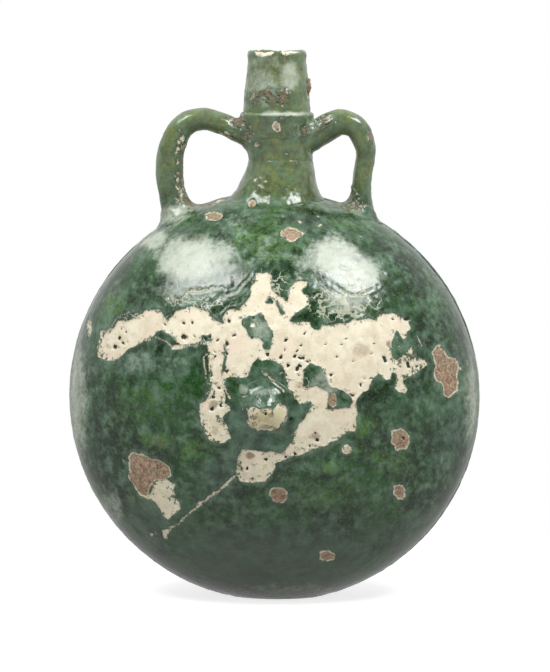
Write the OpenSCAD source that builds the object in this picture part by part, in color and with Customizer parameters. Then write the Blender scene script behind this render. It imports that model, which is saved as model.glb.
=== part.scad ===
// Glazed pilgrim flask, built as a potter builds it: two thrown half shells luted
// rim to rim, a thrown neck with an applied cordon, two coil handles held by wads
// of clay, and a button that closes the middle of each face.
// Millimetres. +Z is up, -Y is the front, and the origin is the middle of the foot.

/* [Body] */
// Diameter of the body, measured across the seam
body_d = 205; // [180:1:230]
// Thickness of the body from face to face, without the buttons
body_depth = 144; // [130:1:160]
// Radius of the rounded edge that runs round beside the seam
edge_r = 50; // [44:1:56]
// Thickness of the thrown wall
wall = 7; // [6:0.5:9]
// How much of the round underside is pared off to make the flat foot
foot_cut = 2.5; // [1.5:0.5:4]

/* [Seam] */
// Thickness of the slip that joins the two rims
slip_t = 0.6; // [0.4:0.1:1.2]
// Depth of the V groove cut round the joined rims
groove_depth = 3.5; // [2.5:0.5:4.5]
// Width of the V groove, which a coil of clay fills
groove_w = 5; // [4:0.5:7]
// How far the coil stands proud of the shells
coil_proud = 0.4; // [0.2:0.1:0.8]

/* [Neck] */
// Height of the rim above the top of the body
neck_h = 70.5; // [62:0.5:80]
// Sideways shift of the neck from the middle of the body
neck_shift = 1.5; // [-3:0.5:3]
// Radius of the bore that takes the stopper
bore_r = 10.5; // [8:0.5:12]
// Wall of the neck just under the lip
lip_wall = 4.7; // [4:0.1:5.5]
// Wall of the neck at its waist, above the root coil
waist_wall = 5.4; // [5:0.1:6.2]
// Wall of the seat that carries the cordon
seat_wall = 6; // [5.4:0.1:6.6]
// Wall of the tenon that passes through the shoulder
tenon_wall = 4.4; // [3.6:0.1:4.8]
// Length of tenon left showing inside the shoulder
tenon_stub = 2; // [1:0.5:4]
// Height of the root coil above the top of the body
root_h = 15.5; // [12:0.5:18]
// How far the foot of the root coil spreads past the waist
root_spread = 6.5; // [4:0.5:9]

/* [Cordon] */
// Height of the cordon's lower edge above the top of the body
cordon_up = 27; // [24:0.5:30]
// Width of the cordon, along the neck
cordon_w = 13; // [10:0.5:15]
// How far the cordon's ridge stands out from its seat
cordon_t = 1.7; // [1.2:0.1:2.5]

/* [Handles] */
// Height of the handles' upper joints above the top of the body
joint_up = 26.5; // [24:0.5:30]
// Distance from the neck's axis to the widest point of the left handle
left_reach = 53.8; // [50:0.2:58]
// Distance from the neck's axis to the crown of the left handle
left_crown = 39; // [36:0.5:42]
// Height of the left handle's crown above its upper joint
left_rise = 10; // [7:0.5:13]
// Drop from the left crown to the handle's widest point
left_drop = 25; // [20:0.5:30]
// Distance from the neck's axis to the left handle's foot
left_foot = 50.5; // [48:0.5:54]
// Distance from the neck's axis to the widest point of the right handle
right_reach = 44.3; // [42:0.1:48]
// Distance from the neck's axis to the crown of the right handle
right_crown = 32.5; // [30:0.5:35]
// Height of the right handle's crown above its upper joint
right_rise = 8.7; // [7:0.1:12]
// Drop from the right crown to the handle's widest point
right_drop = 15; // [12:0.5:20]
// Distance from the neck's axis to the right handle's foot
right_foot = 43; // [41:0.5:46]
// Thickness of the left handle at the middle of its limb
left_thick = 13.4; // [11:0.1:15]
// Thickness of the right handle at the middle of its limb
right_thick = 9.8; // [9:0.1:12]
// Thickness of both handles at the crown
crown_thick = 12; // [10:0.1:14]
// Thickness of both handles where they join the neck
joint_thick = 13; // [11:0.1:14]
// Thickness of both handles at the foot
foot_thick = 11; // [10:0.1:13]
// Width of the handle coils, from front to back
coil_w = 14; // [12:0.5:16]

/* [Luting wads] */
// Thickness of a wad round the handle, at its upper edge
wad_lip = 0.6; // [0.4:0.1:1.2]
// How far a shoulder wad spreads past the handle
shoulder_spread = 6; // [4:0.5:8]
// Height of a shoulder wad along the handle
shoulder_wad_h = 9; // [6:0.5:11]
// How far a neck wad spreads past the handle
neck_spread = 2.6; // [1.8:0.2:3.4]
// Height of a neck wad along the handle
neck_wad_h = 4.5; // [3:0.5:6]

/* [Buttons] */
// Diameter of the button at the middle of each face
boss_d = 24; // [20:0.5:28]
// How far a button stands out from the face
boss_h = 8.5; // [6:0.5:11]
// Diameter of the plug behind the button, which closes the thrown shell
plug_d = 12; // [9:0.5:15]
// Width of the fillet of clay round the foot of the button
boss_fillet = 2; // [1:0.5:3]

/* [Kiln scar] */
// Height of the scar above the top of the body
scar_up = 53; // [48:0.5:60]
// Radius of the lump of kiln grit
scar_r = 4.2; // [3.5:0.1:5]
// How far the lump stands out from the neck
scar_proud = 1.5; // [1:0.1:2]

/* [Hidden] */
$fn = 96;

// Body: each face is an arc round the flask's axis, and each edge a smaller arc
body_r = body_d / 2;
half_depth = body_depth / 2;
edge_x = body_r - edge_r;
face_r = (pow(edge_x, 2) + pow(half_depth, 2) - pow(edge_r, 2)) / (2 * (half_depth - edge_r));
face_y = half_depth - face_r;
blend_angle = atan2(-face_y, edge_x);
arc_step = 3;
body_z = body_r - foot_cut;
top_z = body_z + body_r;

// Neck radii and heights
lip_r = bore_r + lip_wall;
waist_r = bore_r + waist_wall;
seat_r = bore_r + seat_wall;
tenon_r = bore_r + tenon_wall;
rim_z = top_z + neck_h;
root_z = top_z + root_h;
root_r = waist_r + root_spread;
cordon_z = top_z + cordon_up;
tenon_z = body_z + oval_at(tenon_r, wall) - tenon_stub;
lip_round = lip_wall / 2;

// Handles
joint_z = top_z + joint_up;
section_sides = 20;
arch_steps = 12;
quarter = 0.5523;
joint_slope = 29;
joint_pull = 12;
foot_sink = 3;

// Both seam pieces and both shells end on these
slip_y = slip_t / 2;
groove_y = groove_w / 2;
groove_r = body_r - groove_depth;

far = 2 * body_d;
plug_r = plug_d / 2;
boss_r = boss_d / 2;

// A point of the body's oval, wall side in by inset, where angle is the normal's
function oval(angle, inset) =
    angle < blend_angle
        ? [edge_x + (edge_r - inset) * cos(angle), (edge_r - inset) * sin(angle)]
        : [(face_r - inset) * cos(angle), face_y + (face_r - inset) * sin(angle)];

// How far the oval reaches out from the flask's axis at distance y from the seam
function oval_at(y, inset) = edge_x + sqrt(pow(edge_r - inset, 2) - y * y);

// The oval from distance y beside the seam up to the middle of the face
function oval_arc(y, inset) =
    let (first = asin(y / (edge_r - inset)), steps = ceil((90 - first) / arc_step))
    [for (i = [0 : steps]) oval(first + (90 - first) * i / steps, inset)];

function backwards(points) = [for (i = [len(points) - 1 : -1 : 0]) points[i]];

// The coil's outer face, from one side of the groove to the other, flattened by a thumb
function coil_face() =
    let (edge = oval_at(groove_y, 0), ridge = body_r + coil_proud, flat = groove_y / 3)
    [[edge, -groove_y], [ridge, -flat], [ridge, flat], [edge, groove_y]];

// Turns a profile of [distance from the flask's axis, distance from the seam]
// about the flask's axis, towards the front or the back
module turned(side) {
    translate([0, 0, body_z])
        rotate([side * 90, 0, 0])
            rotate_extrude($fn = 180) children();
}

// Everything that lies below the foot
module under_foot() {
    translate([-far / 2, -far / 2, -far]) cube(far);
}

// The round hole that the neck's tenon fills
module tenon_hole() {
    translate([neck_shift, 0, body_z]) cylinder(r = tenon_r, h = far);
}

// The whole outer shape of the body, solid, with the coil round its seam
module body_outer() {
    face = oval_arc(groove_y, 0);
    turned(1)
        polygon(concat(
            [for (point = backwards(face)) [point[0], -point[1]]],
            [for (i = [1, 2]) coil_face()[i]],
            face
        ));
}

// A thrown half shell: its rim is bevelled for the coil, its top opened for the
// neck, and the middle of its face opened for the button's plug
module half_shell(side) {
    difference() {
        turned(side)
            polygon(concat(
                [[groove_r, slip_y]],
                oval_arc(groove_y, 0),
                backwards(oval_arc(slip_y, wall))
            ));
        tenon_hole();
        under_foot();
        translate([0, 0, body_z])
            rotate([side * 90, 0, 0]) cylinder(r = plug_r, h = far);
    }
}

module front_shell() {
    color("darkseagreen") half_shell(1);
}

module back_shell() {
    color("seagreen") half_shell(-1);
}

// The thin layer of slip between the two rims
module seam_slip() {
    inner_r = oval_at(slip_y, wall);
    color("wheat")
        difference() {
            turned(1)
                polygon([
                    [inner_r, -slip_y], [groove_r, -slip_y],
                    [groove_r, slip_y], [inner_r, slip_y]
                ]);
            tenon_hole();
            under_foot();
        }
}

// The coil of clay pressed into the groove outside the joined rims
module seam_coil() {
    color("darkolivegreen")
        difference() {
            turned(1)
                polygon(concat(
                    [[groove_r, slip_y], [groove_r, -slip_y]],
                    coil_face()
                ));
            tenon_hole();
            under_foot();
        }
}

// Places a piece on the neck's axis, at the height of its children's z
module on_neck(z) {
    translate([neck_shift, 0, z]) children();
}

// The rounded top of the neck's wall, from outside to inside
function lip_points() =
    [for (i = [0 : 8])
        [lip_r - lip_round + lip_round * cos(i * 22.5), rim_z - lip_round + lip_round * sin(i * 22.5)]];

// The thrown neck, from the stub inside the shoulder up to the lip
module neck_tube() {
    color("darkseagreen")
        on_neck(0)
            rotate_extrude()
                polygon(concat(
                    [
                        [bore_r, tenon_z], [tenon_r, tenon_z], [tenon_r, root_z],
                        [waist_r, root_z], [seat_r, cordon_z], [seat_r, cordon_z + cordon_w]
                    ],
                    lip_points()
                ));
}

// The coil of clay worked in round the foot of the neck
module neck_root_coil() {
    color("seagreen")
        difference() {
            root_outer();
            body_outer();
            on_neck(0) cylinder(r = tenon_r, h = rim_z);
        }
}

module root_outer() {
    bulge = root_spread / 6;
    on_neck(0)
        rotate_extrude()
            polygon([
                [0, body_z], [root_r, body_z], [root_r, top_z - foot_cut],
                [(root_r + waist_r) / 2 + bulge, (top_z + root_z) / 2],
                [waist_r, root_z], [0, root_z]
            ]);
}

// The applied ring round the middle of the neck, sharper above than below
module neck_cordon() {
    color("darkolivegreen")
        on_neck(cordon_z)
            rotate_extrude() polygon(concat([[seat_r, 0]], cordon_face(), [[seat_r, cordon_w]]));
}

function cordon_face() =
    [for (i = [1 : 9])
        let (u = i / 10, out = u < 0.7 ? sin(90 * u / 0.7) : cos(90 * (u - 0.7) / 0.3))
        [seat_r + cordon_t * out, cordon_w * u]];

// The neck's outer shape with its root coil and cordon, solid
module neck_outer() {
    on_neck(0)
        rotate_extrude()
            polygon([
                [0, tenon_z], [waist_r, tenon_z], [waist_r, root_z], [seat_r, cordon_z],
                [seat_r, cordon_z + cordon_w], [lip_r, rim_z], [0, rim_z]
            ]);
    root_outer();
    on_neck(cordon_z)
        rotate_extrude()
            polygon(concat([[0, 0], [seat_r, 0]], cordon_face(), [[seat_r, cordon_w], [0, cordon_w]]));
}

// Handles: a station is [distance from the neck's axis, height, half thickness, half width]
function bezier(a, b, c, d, t) =
    pow(1 - t, 3) * a + 3 * t * pow(1 - t, 2) * b + 3 * t * t * (1 - t) * c + pow(t, 3) * d;

function shifted(station, out, up) = [station[0] + out, station[1] + up, station[2], station[3]];

function shoulder_z(out, side) =
    body_z + sqrt(pow(body_r, 2) - pow(neck_shift + side * out, 2));

function stretch(a, b, c, d) = [for (i = [1 : arch_steps]) bezier(a, b, c, d, i / arch_steps)];

// The line of a handle: up and out from the neck, over its crown, and down to the shoulder
function arch(side, reach, crown, rise, drop, foot, thick) =
    let (
        half_w = coil_w / 2,
        joint = [tenon_r, joint_z, joint_thick / 2, half_w],
        top = [crown, joint_z + rise, crown_thick / 2, half_w],
        limb = [reach, joint_z + rise - drop, thick / 2, half_w],
        end = [foot, shoulder_z(foot, side) - foot_sink, foot_thick / 2, half_w],
        fall = limb[1] - end[1]
    )
    concat(
        [joint],
        stretch(
            joint,
            shifted(joint, joint_pull * cos(joint_slope), joint_pull * sin(joint_slope)),
            shifted(top, -(crown - tenon_r) / 4, 0),
            top
        ),
        stretch(
            top,
            shifted(top, quarter * (reach - crown), 0),
            shifted(limb, 0, quarter * drop),
            limb
        ),
        stretch(limb, shifted(limb, 0, -fall / 3), shifted(end, -(reach - foot) / 4, fall / 3), end)
    );

function left_arch() =
    arch(-1, left_reach, left_crown, left_rise, left_drop, left_foot, left_thick);

function right_arch() =
    arch(1, right_reach, right_crown, right_rise, right_drop, right_foot, right_thick);

// The direction along an arch at station i, as [out, up]
function along(line, i) =
    let (
        a = line[max(i - 1, 0)],
        b = line[min(i + 1, len(line) - 1)],
        d = [b[0] - a[0], b[1] - a[1]]
    )
    d / norm(d);

function ring(line, i, side) =
    let (s = line[i], d = along(line, i))
    [for (k = [0 : section_sides - 1])
        let (turn = 360 * (k + 0.5) / section_sides, in_plane = s[2] * cos(turn))
        [
            neck_shift + side * (s[0] - d[1] * in_plane),
            side * s[3] * sin(turn),
            s[1] + d[0] * in_plane
        ]];

function side_faces(rings, n) =
    [for (i = [0 : rings - 2], k = [0 : n - 1])
        let (a = i * n + k, b = i * n + (k + 1) % n)
        each [[a, b, b + n], [a, b + n, a + n]]];

function end_faces(rings, n) =
    let (last = (rings - 1) * n)
    [for (k = [1 : n - 2]) each [[0, k + 1, k], [last, last + k, last + k + 1]]];

// A coil of clay bent along an arch
module coil_handle(line, side) {
    n = section_sides;
    polyhedron(
        points = [for (i = [0 : len(line) - 1]) each ring(line, i, side)],
        faces = concat(side_faces(len(line), n), end_faces(len(line), n))
    );
}

module fitted_handle(line, side) {
    difference() {
        coil_handle(line, side);
        body_outer();
        neck_outer();
    }
}

module left_handle() {
    color("darkseagreen") fitted_handle(left_arch(), -1);
}

module right_handle() {
    color("darkseagreen") fitted_handle(right_arch(), 1);
}

// A wad that spreads like a trumpet from round the handle on to what it is luted to
module wad_blank(throat, spread, h, sink) {
    rotate_extrude($fn = 48)
        polygon(concat(
            [[0, -sink], [throat + spread, -sink]],
            [for (i = [0 : 8])
                let (u = i / 9)
                [throat + spread * (1 - sqrt(1 - pow(1 - u, 2)) * 0.97), h * u]],
            [[throat, h], [0, h]]
        ));
}

// Stands a wad on the arch at the given station, pointing along the arch or back along it
module wad_at(line, i, side, heading) {
    d = along(line, i) * heading;
    lean = atan2(side * d[0], d[1]);
    translate([neck_shift + side * line[i][0], 0, line[i][1]])
        rotate([0, lean, 0]) children();
}

module shoulder_wad(line, side) {
    last = len(line) - 1;
    difference() {
        wad_at(line, last, side, -1)
            translate([0, 0, foot_sink])
                wad_blank(coil_w / 2 + wad_lip, shoulder_spread, shoulder_wad_h, 2 * foot_sink);
        coil_handle(line, side);
        body_outer();
    }
}

module neck_wad(line, side) {
    difference() {
        wad_at(line, 1, side, 1)
            wad_blank(coil_w / 2 + wad_lip, neck_spread, neck_wad_h, waist_wall);
        coil_handle(line, side);
        neck_outer();
    }
}

module left_neck_wad() {
    color("tan") neck_wad(left_arch(), -1);
}

module right_neck_wad() {
    color("tan") neck_wad(right_arch(), 1);
}

module left_shoulder_wad() {
    color("tan") shoulder_wad(left_arch(), -1);
}

module right_shoulder_wad() {
    color("tan") shoulder_wad(right_arch(), 1);
}

// A button of clay with a plug behind it and a small fillet round its foot
module button(side) {
    fullness = 2.4;
    crown_steps = 12;
    skirt_r = boss_r + boss_fillet;
    translate([0, 0, body_z])
        rotate([side * 90, 0, 0]) {
            difference() {
                translate([0, 0, half_depth])
                    rotate_extrude()
                        polygon(concat(
                            [[0, -boss_r / 2], [skirt_r, -boss_r / 2], [skirt_r, -boss_fillet / 2]],
                            [for (i = [1 : crown_steps])
                                let (t = 90 * i / crown_steps)
                                [
                                    boss_r * pow(cos(t), 2 / fullness),
                                    boss_h * pow(sin(t), 2 / fullness)
                                ]]
                        ));
                rotate([-side * 90, 0, 0]) translate([0, 0, -body_z]) body_outer();
            }
            translate([0, 0, half_depth - wall]) cylinder(r = plug_r, h = wall + boss_h / 3);
        }
}

module front_boss() {
    color("darkkhaki") button(1);
}

module back_boss() {
    color("darkseagreen") button(-1);
}

// The lump of grit that stuck to the right of the neck in the kiln
module kiln_scar() {
    z = top_z + scar_up;
    share = (z - cordon_z - cordon_w) / (rim_z - lip_round - cordon_z - cordon_w);
    neck_r = seat_r + (lip_r - seat_r) * share;
    color("sienna")
        difference() {
            on_neck(z) translate([neck_r + scar_proud - scar_r, 0, 0]) sphere(r = scar_r);
            on_neck(cordon_z + cordon_w)
                cylinder(r1 = seat_r, r2 = lip_r, h = rim_z - lip_round - cordon_z - cordon_w);
        }
}

front_shell();
back_shell();
seam_slip();
seam_coil();
neck_tube();
neck_root_coil();
neck_cordon();
left_handle();
right_handle();
left_neck_wad();
right_neck_wad();
left_shoulder_wad();
right_shoulder_wad();
front_boss();
back_boss();
kiln_scar();
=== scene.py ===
import math

import bmesh
import bpy
import numpy as np
from mathutils import Matrix, Vector, noise


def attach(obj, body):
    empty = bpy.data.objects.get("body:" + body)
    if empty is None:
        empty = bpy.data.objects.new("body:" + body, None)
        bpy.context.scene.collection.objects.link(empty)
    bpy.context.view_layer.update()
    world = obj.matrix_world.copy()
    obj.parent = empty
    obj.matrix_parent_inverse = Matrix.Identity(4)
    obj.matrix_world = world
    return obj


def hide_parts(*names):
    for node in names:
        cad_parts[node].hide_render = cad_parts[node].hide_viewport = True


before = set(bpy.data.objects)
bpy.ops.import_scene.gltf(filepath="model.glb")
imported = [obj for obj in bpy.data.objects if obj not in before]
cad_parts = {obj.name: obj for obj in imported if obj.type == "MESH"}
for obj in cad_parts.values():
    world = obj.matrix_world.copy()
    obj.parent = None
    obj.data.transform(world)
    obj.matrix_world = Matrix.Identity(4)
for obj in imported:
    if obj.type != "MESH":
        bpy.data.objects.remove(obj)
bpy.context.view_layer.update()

# A glazed earthenware pilgrim flask. Shapes are worked out in millimetres in the
# frame of the CAD, and each finished mesh is scaled to metres.
MM = 0.001

# The body is an oval turned about the flask's axis, which runs from front to back. Its
# outline is an arc of EDGE_R from the seam to the angle BLEND, and one of FACE_R from there.
BODY_R = 102.5
HALF_DEPTH = 72.0
EDGE_R = 50.0
WALL = 7.0
BODY_Z = 100.0
EDGE_X = BODY_R - EDGE_R
FACE_R = (EDGE_X ** 2 + HALF_DEPTH ** 2 - EDGE_R ** 2) / (2 * (HALF_DEPTH - EDGE_R))
FACE_Y = HALF_DEPTH - FACE_R
BLEND = math.atan2(-FACE_Y, EDGE_X)
SHELL_SPACING = 0.95
SHELL_STEPS = 520

# A film of slip parts the shells' rims, a groove round them takes the seam's coil, and a
# plug fills the hole in the middle of each face.
SLIP_HALF = 0.3
GROOVE_HALF = 2.5
GROOVE_DEPTH = 3.5
PLUG_R = 6.0
PLUG_END = 65.3

# The neck stands a little to the right of the body's middle, and its waist leans further.
NECK_X = 1.5
TENON_R = 14.9
OUTSIDE_R = 12.5
WAIST_Z = 217.0
WAIST_SPREAD = 9.0
WAIST_SHIFT = 1.9
LIP_Z = 266.0
LIP_HEIGHT = 6.0
ROOT_TOP = 218.5

# The camera stands where the photograph was taken from.
CAMERA_AIM = Vector((0.5, 0.0, 130.5))
CAMERA_TURN = math.radians(3.4)
CAMERA_RISE = math.radians(4.7)
CAMERA_DISTANCE = 2100.0
CAMERA_LENS = 225.0
SENSOR = 36.0
PHOTO_WIDTH = 550
PHOTO_HEIGHT = 672
PHOTO_SCALE = CAMERA_LENS / SENSOR * PHOTO_HEIGHT
PIXELS_PER_MM = 2.0
SIN_TURN, COS_TURN = math.sin(CAMERA_TURN), math.cos(CAMERA_TURN)
SIN_RISE, COS_RISE = math.sin(CAMERA_RISE), math.cos(CAMERA_RISE)
CAMERA_BACK = (SIN_TURN * COS_RISE, -COS_TURN * COS_RISE, SIN_RISE)

# Wear in relief, in mm: the glaze's thickness, its curled edge, and the pits' depth
GLAZE_THICKNESS = 0.32
CURLED_EDGE = 0.16
PIT_DEPTH = 0.7

# Outlines of what shows on the front, in pixels of the photograph's frame. The first
# is the large patch where the glaze has flaked away and the cream slip lies bare.
CREAM_PATCH = [
    (97, 343), (100, 331), (108, 330.5), (113, 327), (118, 320.5), (128, 319), (135.5, 318),
    (140.5, 315), (143, 310.5), (149, 310), (158, 309.5), (162, 310.5), (164.5, 316),
    (167, 320.5), (172, 316), (175.5, 310.5), (187, 308), (193, 306.7), (200, 309.5),
    (207, 310), (210, 315), (214, 320.5), (219, 323), (222, 322), (223, 316), (229, 309.5),
    (239.5, 309.5), (247, 300.5), (250, 294), (251, 287), (255.5, 282), (256, 276), (257, 272),
    (263, 274), (266, 272), (270.5, 274.5), (271, 287), (273, 290.5), (283, 298), (287, 303),
    (290.5, 288), (296, 282), (300.5, 280.5), (306.7, 281.7), (307, 286), (303, 289),
    (303, 294), (309.5, 296.7), (310, 303), (305, 306), (297, 312), (290, 319.5), (292, 321.7),
    (309.5, 321.7), (315, 329.5), (319.5, 329.5), (320.5, 324), (345, 324), (351.7, 320),
    (367, 318), (376, 321.7), (378, 317), (385, 313), (394, 311.7), (402, 318), (407, 320.5),
    (411, 329), (407, 332), (406, 337), (403, 339), (400.5, 336), (397, 330.5), (394, 332),
    (391.7, 340.5), (390, 349.5), (391.7, 358), (397, 359.5), (404, 356), (408, 355.5),
    (410.5, 359.5), (415, 354), (419.5, 358), (425, 359.5), (427, 365), (419.5, 370.5),
    (412, 375), (404, 380.5), (408, 391.7), (404, 394), (397, 390.5), (395.5, 385),
    (396.7, 378), (395, 372), (392.8, 371.7), (391.7, 378), (386, 379.5), (377, 373),
    (370.5, 380.5), (370, 389.5), (363, 393), (358, 398), (357, 404.5), (355.5, 430),
    (348, 432), (340.5, 435.5), (331.7, 442), (326, 446.7), (317, 448), (302, 454.5),
    (294, 455.5), (280.5, 461), (275, 465.5), (271.7, 473), (265, 481), (260.5, 482),
    (243, 483), (238, 479), (235, 473), (236, 465.5), (241.7, 451), (257, 450), (265, 451),
    (279, 453), (288, 451), (295, 430), (299, 424), (307, 414.5), (311.7, 406.7), (309.5, 402),
    (299, 404.5), (289, 386), (289, 382), (285, 375), (283, 368), (280.5, 364), (274, 360.5),
    (269.5, 359.5), (262, 362), (256, 359.5), (251.7, 365), (245, 376), (240.5, 378),
    (230, 377), (225.5, 378), (223, 387), (225.5, 398), (224, 403), (230, 405.5), (229.5, 409),
    (223, 419), (226, 423), (229, 430), (229.5, 436.7), (224, 441), (220.5, 443), (214, 443),
    (209, 440), (207, 434), (203, 425.5), (200, 419), (199.5, 411), (200.5, 403), (205, 400),
    (210.5, 391), (212, 383), (209, 376), (208, 365), (208, 343), (203, 340.5), (197, 341.7),
    (190, 344.5), (180, 345), (175.5, 341.7), (169, 333), (158, 332), (153, 336), (148, 337),
    (142, 341.7), (135.5, 347), (127, 350.5), (121, 358), (115, 360.5), (108, 360.5),
    (97, 357),
]
GREEN_ISLANDS = [
    [
        (262, 313), (264, 317), (266, 322), (269.5, 327), (273, 332), (273, 337), (271, 348),
        (264.5, 350), (264, 340.5), (259.5, 336), (253, 337), (248, 334), (247, 330.5),
        (242, 325), (242, 319.5), (255, 316),
    ],
    [
        (310, 362), (315, 364), (320.5, 368), (324, 374), (326, 380.5), (329.5, 386),
        (337, 387), (345, 393), (350.5, 396.7), (353, 403), (348, 408), (337, 409), (327, 410),
        (328, 400), (327, 391), (317, 387), (308, 388), (303, 386), (303, 370.5),
    ],
    [(266, 296), (273, 297), (272, 304), (266, 303)],
    [(274, 299), (280, 304), (285, 313), (281, 315), (277, 307)],
    [(157, 331), (164, 330), (165, 335), (158, 336)],
    [(203, 334), (212, 335), (213, 340), (204, 341)],
    [(224, 344), (227, 352), (226.5, 366), (224, 372), (223, 360)],
]
# The brown patch at the lower left, where clay shows, and the slip bared beside it.
CLAY_PATCHES = [
    [
        (128.6, 455), (141.4, 453.6), (150, 458), (160, 460.7), (170, 467), (170.7, 477),
        (163, 479.3), (155.7, 480), (150, 490), (147, 498.6), (140, 494.3), (134.3, 487),
        (128.6, 478.6),
    ],
    [
        (437, 345), (441, 344), (443, 350), (449, 356), (456, 358), (459, 366), (458, 380),
        (457, 392), (452, 398), (446, 396), (443, 386), (437, 382), (434, 373), (435, 362),
        (433, 352),
    ],
    [
        (281, 229), (289, 227.5), (297, 229), (303, 232), (302, 237), (294, 241), (286, 239),
        (280, 235),
    ],
    [(205, 212), (214, 211), (223, 214), (222, 219), (213, 222), (206, 220)],
    [(392, 431), (401, 428), (409, 434), (410, 442), (406, 449), (397, 450), (391, 444)],
    [(272, 487), (280, 486), (287, 490), (286, 498), (281, 503), (273, 501), (269, 494)],
    [(394, 485), (402, 485), (407, 491), (405, 499), (398, 501), (393, 495)],
    [(321, 552), (329, 550), (336, 554), (335, 560), (327, 562), (321, 559)],
]
SLIP_PATCHES = [
    [
        (247, 410), (252, 405), (259, 409), (266, 407), (274, 409), (280, 402), (286, 404),
        (288, 412), (287, 421), (281, 428), (270, 432), (258, 431), (250, 426), (247, 418),
    ],
    [
        (158.6, 479.3), (167, 479.3), (173.6, 485), (173.6, 491.4), (170, 497), (177, 500),
        (180.7, 508.6), (175.7, 514.3), (168.6, 518.6), (161.4, 514.3), (157, 504.3),
        (147, 498.6), (153, 491.4), (155.7, 483),
    ],
    [(253, 42), (275, 42), (274, 53), (270, 56), (262, 57.5), (256, 55.5)],
    [(281, 42), (303, 42), (301, 52), (295, 53.5), (288, 55), (283, 53.5)],
    [(161, 530), (165, 529), (169, 531), (167, 536), (168, 540), (163, 539)],
    [(306, 82), (312, 80), (314, 96), (308, 97)],
]
# Runs where the glaze has cracked away in a thin line, each with its half width.
BARE_LINES = [
    ([(180, 298), (187, 292), (200, 291), (208.6, 290), (214, 286.4), (220, 286),
      (225.5, 289)], 0.9),
    ([(208, 353), (203.6, 357), (203.4, 367), (206.4, 377)], 1.1),
    ([(141, 339), (151, 340), (157, 338), (167, 342), (171, 346.5), (182, 348),
      (190, 347), (206, 343)], 0.8),
    ([(296, 272), (302, 278)], 0.9),
    ([(417, 336), (419.5, 342), (422, 347), (421.7, 352)], 0.9),
    ([(335, 283), (345, 292), (352, 294), (362, 295), (372, 290), (380, 285)], 0.6),
    ([(224, 390), (229, 397)], 1.0),
    ([(265, 373), (274, 380), (285, 390)], 1.2),
    ([(240, 472), (235, 474.5), (227, 484.3), (214.3, 493.6), (205.7, 499.3), (200, 503.6),
      (191.4, 511.4), (183, 517), (178.6, 524.3), (168.6, 528.6), (162, 532)], 1.0),
    ([(108, 330), (116, 318), (125, 313), (138, 309)], 0.6),
    ([(228, 296), (236, 291), (245, 281), (252, 274)], 0.6),
    ([(316, 446), (322, 442), (330, 441), (336, 439)], 1.2),
]
# Spots down to the slip or the clay: middle, half width, half height and how brown it is.
BARE_SPOTS = [
    (347, 450, 5, 5.5, 0.5), (89, 328, 2.2, 10, 0.0), (252, 203.5, 4.5, 3.5, 0.75),
    (254, 325, 3.2, 2.2, 0.0), (177, 347.5, 6, 2.6, 0.0), (333, 400, 5, 8, 0.85),
    (214.3, 493.6, 2, 2, 0.0), (200, 503.6, 2, 2, 0.0), (227, 484.3, 1.6, 1.6, 0.0),
    (151, 534, 2, 1.5, 0.0), (155.5, 533, 1.3, 1.3, 0.0), (277.5, 127, 4.5, 5, 0.6),
    (300, 222, 2.5, 2, 0.5), (258, 145, 2.5, 3, 0.8), (238, 120, 5.5, 8, 0.6),
    (298, 396, 3, 2, 0.6),
]
# Brown stains in the bare slip and rust in the glaze: the same, with a strength last.
STAINS = [
    (361, 350, 19, 15, 0.5), (388, 343, 5, 6, 0.7), (108, 346, 6, 6, 0.5),
    (250, 457, 8, 6, 0.8), (332, 400, 8, 12, 0.9), (213, 405, 9, 10, 0.6),
    (215, 432, 8, 9, 0.5), (300, 385, 12, 7, 0.5), (148, 470, 26, 28, 0.5),
    (446, 372, 18, 30, 0.5), (375, 336, 12, 8, 0.4), (244, 474, 8, 8, 0.4),
    (315, 436, 12, 7, 0.6), (185, 336, 6, 5, 0.7), (350, 380, 14, 8, 0.3),
    (284, 430, 12, 14, 0.5), (400, 440, 13, 14, 0.8), (278, 495, 13, 12, 0.8),
    (183, 165, 9, 36, 0.8), (215, 138, 30, 8, 0.7), (372, 137, 6, 14, 0.9),
    (325, 125, 14, 14, 0.9), (272, 97, 36, 14, 0.85), (238, 122, 9, 14, 0.9),
    (160, 442, 20, 12, 0.5), (266, 418, 26, 15, 0.42), (272, 414, 8, 5, 0.6),
    (254, 418, 5, 5, 0.7), (266, 428, 14, 5, 0.6), (310, 90, 6, 12, 0.9),
    (301, 133, 15, 18, 0.7), (248, 134, 12, 16, 0.7), (198, 203, 34, 12, 0.8),
    (352, 203, 24, 14, 0.7),
]
# Where the glaze has broken into scabs and specks: the same.
SCABS = [
    (272, 97, 34, 12, 1.5), (252, 98, 12, 12, 1.1), (301, 133, 15, 18, 1.2),
    (248, 134, 12, 16, 1.25), (181, 165, 9, 46, 2.6), (214, 136, 36, 7, 2.2),
    (325, 124, 17, 14, 1.1), (372, 137, 7, 15, 2.4), (200, 200, 42, 9, 2.0),
    (215, 422, 20, 26, 1.0), (251, 468, 22, 18, 1.0), (262, 420, 28, 16, 0.5),
    (238, 122, 10, 15, 2.0), (172, 494, 14, 20, 0.6), (345, 425, 20, 16, 0.5),
    (352, 202, 28, 12, 1.3), (108, 345, 20, 20, 0.9), (215, 380, 16, 60, 0.55),
    (300, 443, 34, 14, 0.6), (408, 360, 24, 30, 0.9), (283, 380, 40, 30, 0.35),
    (312, 225, 40, 16, 0.45), (284, 430, 16, 20, 0.6), (245, 400, 10, 22, 0.5),
    (290, 118, 30, 8, 0.5), (330, 468, 12, 10, 0.4), (240, 215, 60, 14, 0.3),
]
# Where the glaze crawled into a net of worm-like cracks: the same.
CRAWLING = [
    (346, 304, 54, 28, 1.0), (270, 285, 34, 24, 0.8), (200, 300, 62, 22, 0.6),
    (300, 380, 24, 26, 0.5), (150, 320, 60, 18, 0.5), (235, 330, 60, 40, 0.35),
    (385, 330, 30, 30, 0.5), (215, 400, 16, 44, 0.6),
]
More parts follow.
